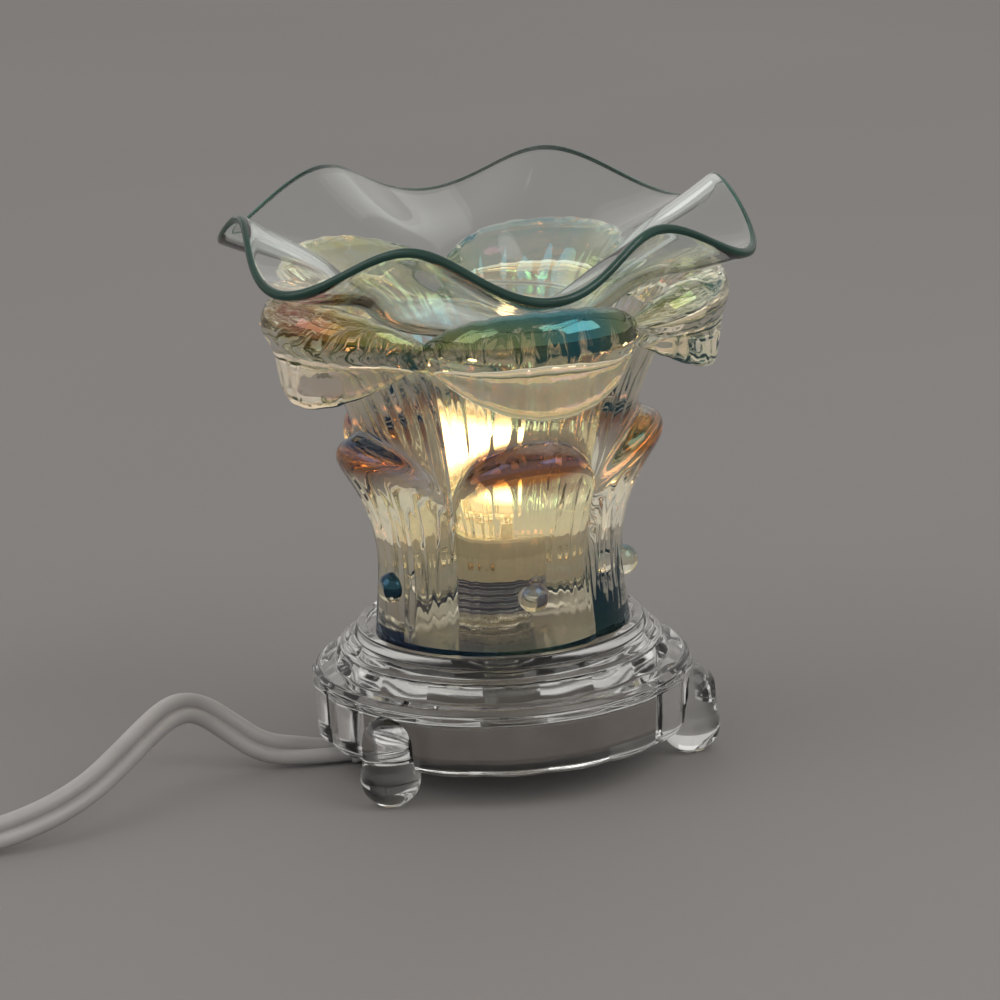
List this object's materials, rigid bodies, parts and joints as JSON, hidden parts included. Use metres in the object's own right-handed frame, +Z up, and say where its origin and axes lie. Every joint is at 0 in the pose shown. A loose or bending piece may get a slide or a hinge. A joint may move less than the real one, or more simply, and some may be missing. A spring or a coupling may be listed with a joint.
{
  "type": "wax melt warmer",
  "caption": "Pressed glass wax melt warmer: halogen lamp on a scalloped pedestal, petalled glass shade over it and a ruffled dish on top",
  "frame": {"origin": "on the table, under the middle of the base", "axes": "+Z up along the lamp's axis, -Y towards the front, the cord leaving towards -X"},
  "size_m": [0.3405, 0.1415, 0.1381],
  "materials": {
    "clear_glass": "gloss",
    "lustre_glass": "gloss",
    "dish_glass": "gloss",
    "lamp_glass": "gloss",
    "plated_steel": "satin",
    "bright_metal": "polished",
    "porcelain": "gloss",
    "spring_brass": "satin",
    "filament": "satin",
    "lead_insulation": "matte",
    "crimp_plastic": "matte",
    "cover_plastic": "satin",
    "cord_plastic": "satin",
    "tie_plastic": "matte"
  },
  "bodies": {
    "base_stand": {"glass_base": "clear_glass", "threaded_tube": "plated_steel", "lock_nuts": "plated_steel", "washers": "plated_steel", "holder_saddle": "bright_metal", "holder_lower": "porcelain", "holder_upper": "porcelain", "contact_left": "spring_brass", "contact_right": "spring_brass", "terminal_screws": "spring_brass", "holder_leads": "lead_insulation", "crimps": "crimp_plastic", "cord_tails": "cord_plastic", "bottom_cover": "cover_plastic", "cord_relief": "cord_plastic", "cord_lead": "cord_plastic", "cord_coil": "cord_plastic", "cord_tie": "tie_plastic", "cord_end": "cord_plastic", "plug_body": "cord_plastic", "plug_blades": "spring_brass"},
    "bulb": {"bulb_glass": "lamp_glass", "bulb_pins": "plated_steel", "bulb_filament": "filament"},
    "shade": {"petal_shade": "lustre_glass"},
    "dish": {"melt_dish": "dish_glass"}
  },
  "joints": [
    {"name": "shade_lift", "type": "slide", "parent": "base_stand", "child": "shade", "axis": [0, 0, 1], "range_m": [0, 0.065]},
    {"name": "dish_lift", "type": "slide", "parent": "shade", "child": "dish", "axis": [0, 0, 1], "range_m": [0, 0.03]},
    {"name": "bulb_pull", "type": "slide", "parent": "base_stand", "child": "bulb", "axis": [0, 0, 1], "range_m": [0, 0.012]}
  ]
}
